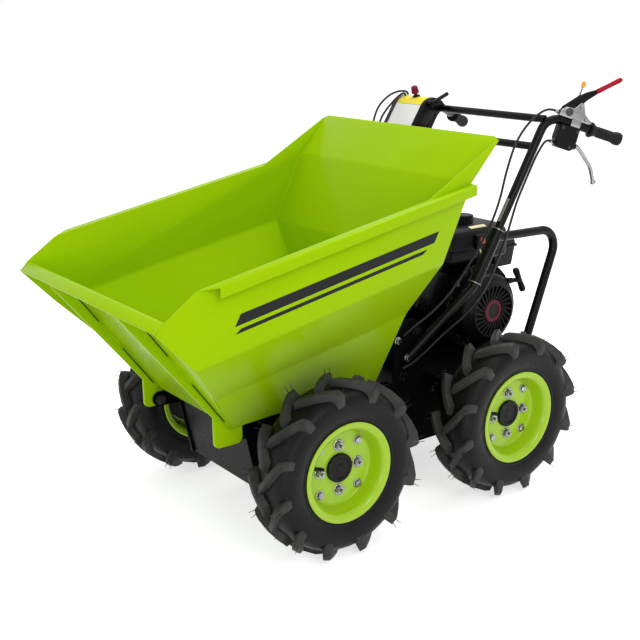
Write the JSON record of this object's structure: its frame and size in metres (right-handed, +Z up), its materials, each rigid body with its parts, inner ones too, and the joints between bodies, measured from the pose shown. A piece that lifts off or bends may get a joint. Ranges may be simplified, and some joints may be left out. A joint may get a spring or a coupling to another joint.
{
  "type": "walk-behind site dumper",
  "caption": "Walk-behind site dumper with a tipping folded-steel skip on cleated wheels, an open petrol engine on its rear deck and a handlebar with control levers.",
  "frame": {"origin": "on the ground, under the middle of the machine's length and on its centre plane", "axes": "+X forward to the skip's lip, +Y to the operator's left, +Z up"},
  "size_m": [1.3786, 0.734, 0.9967],
  "materials": {
    "lime_paint": "gloss powder coat",
    "black_paint": "satin powder coat",
    "engine_black": "satin heat-proof paint",
    "zinc_steel": "zinc plated",
    "tyre": "matt",
    "grip_rubber": "matt",
    "black_plastic": "fine grain",
    "red_plastic": "gloss",
    "yellow_plastic": "gloss"
  },
  "bodies": {
    "chassis": {"frame_side_left": "black_paint", "frame_side_right": "black_paint", "frame_front": "black_paint", "frame_rear": "black_paint", "deck": "black_paint", "front_axle": "black_paint", "rear_axle": "black_paint", "rest_pads": "black_paint", "fan_housing": "black_paint", "handle_left": "black_paint", "handle_right": "black_paint", "cross_bars": "black_paint", "handle_brackets": "black_paint", "rear_guard": "black_paint", "console": "black_paint", "shift_levers": "black_paint", "clutch_lever": "black_paint", "belt_guard": "black_paint", "gearbox": "engine_black", "engine_block": "engine_black", "muffler": "engine_black", "carburettor": "zinc_steel", "lever_clamp": "zinc_steel", "throttle_lever": "zinc_steel", "brake_lever": "zinc_steel", "grips": "grip_rubber", "starter_cover": "black_plastic", "starter_handle": "black_plastic", "fuel_tank": "black_plastic", "fuel_cap": "black_plastic", "air_filter": "black_plastic", "switch_box": "black_plastic", "control_cables": "black_plastic", "clutch_grip": "red_plastic", "gear_knob": "red_plastic", "throttle_knob": "yellow_plastic"},
    "skip": {"skip_side_left": "lime_paint", "skip_side_right": "lime_paint", "skip_floor": "lime_paint", "skip_back": "lime_paint", "skip_arms": "lime_paint", "hinge_pin": "zinc_steel"},
    "wheel_front_left": {"tyre_front_left": "tyre", "rim_front_left": "lime_paint", "hub_front_left": "black_paint"},
    "wheel_front_right": {"tyre_front_right": "tyre", "rim_front_right": "lime_paint", "hub_front_right": "black_paint"},
    "wheel_rear_left": {"tyre_rear_left": "tyre", "rim_rear_left": "lime_paint", "hub_rear_left": "black_paint"},
    "wheel_rear_right": {"tyre_rear_right": "tyre", "rim_rear_right": "lime_paint", "hub_rear_right": "black_paint"}
  },
  "joints": [
    {"name": "skip_tip", "type": "hinge", "parent": "chassis", "child": "skip", "pos_m": [0.43923, 0, 0.271], "axis": [0, 1, 0], "range_deg": [0, 85]},
    {"name": "front_left_roll", "type": "hinge", "parent": "chassis", "child": "wheel_front_left", "pos_m": [0.25323, 0.308, 0.20473], "axis": [0, 1, 0], "continuous": true},
    {"name": "front_right_roll", "type": "hinge", "parent": "chassis", "child": "wheel_front_right", "pos_m": [0.25323, -0.308, 0.20473], "axis": [0, 1, 0], "continuous": true},
    {"name": "rear_left_roll", "type": "hinge", "parent": "chassis", "child": "wheel_rear_left", "pos_m": [-0.27477, 0.308, 0.20473], "axis": [0, 1, 0], "continuous": true},
    {"name": "rear_right_roll", "type": "hinge", "parent": "chassis", "child": "wheel_rear_right", "pos_m": [-0.27477, -0.308, 0.20473], "axis": [0, 1, 0], "continuous": true}
  ]
}
